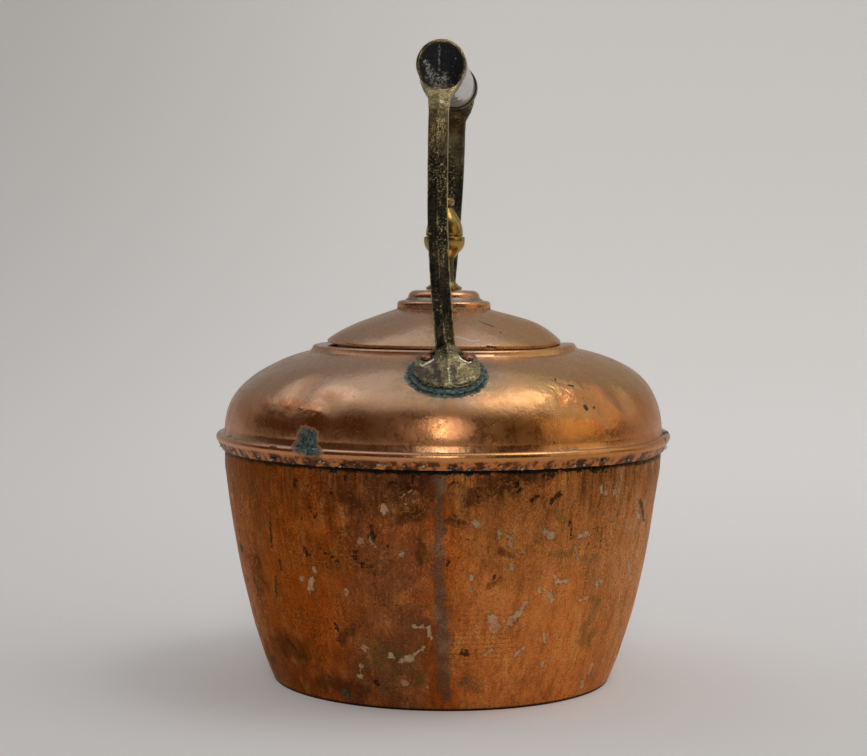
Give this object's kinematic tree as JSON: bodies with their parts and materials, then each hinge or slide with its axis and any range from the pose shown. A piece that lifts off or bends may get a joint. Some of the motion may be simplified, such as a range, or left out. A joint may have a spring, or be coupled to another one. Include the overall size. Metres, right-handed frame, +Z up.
{
  "type": "tea kettle",
  "caption": "Old copper tea kettle with a squashed shoulder over a tapered body, a gooseneck spout, a lift-off lid with an acorn finial, and a fixed brass handle with a milk glass grip.",
  "frame": {"origin": "middle of the underside of the base plate, where the kettle stands", "axes": "+Z up along the kettle's axis, +Y towards the spout in the plane of the handle, +X across the handle"},
  "size_m": [0.204, 0.2626, 0.2798],
  "materials": {
    "body_copper": "worn hammered copper, orange brown with dark pits and pale spots",
    "shoulder_copper": "satin worn copper, taupe to golden, with fine scratches",
    "rivet_copper": "worn copper, pinkish",
    "dark_brass": "cast brass with a dark patina, bright on its arrises",
    "polished_brass": "polished brass with grime in its grooves",
    "milk_glass": "opaque white milk glass, glossy",
    "iron": "dull iron",
    "solder": "old solder with a green crust"
  },
  "bodies": {
    "kettle": {"lower_body": "body_copper", "base_plate": "body_copper", "shoulder": "shoulder_copper", "spout": "body_copper", "rear_bracket": "dark_brass", "front_bracket": "dark_brass", "rear_foot_pad": "solder", "front_foot_pad": "solder", "rear_rivet_left": "rivet_copper", "rear_rivet_right": "rivet_copper", "front_rivet_left": "rivet_copper", "front_rivet_right": "rivet_copper", "rear_burr_left": "rivet_copper", "rear_burr_right": "rivet_copper", "front_burr_left": "rivet_copper", "front_burr_right": "rivet_copper", "grip": "milk_glass", "tie_rod": "iron", "rear_ferrule": "polished_brass", "front_ferrule": "polished_brass"},
    "lid": {"lid_dome": "shoulder_copper", "lid_skirt": "shoulder_copper", "finial": "polished_brass", "finial_washer": "polished_brass"}
  },
  "joints": [
    {"name": "lid_lift", "type": "slide", "parent": "kettle", "child": "lid", "axis": [0, 0, 1], "range_m": [0, 0.04]}
  ]
}
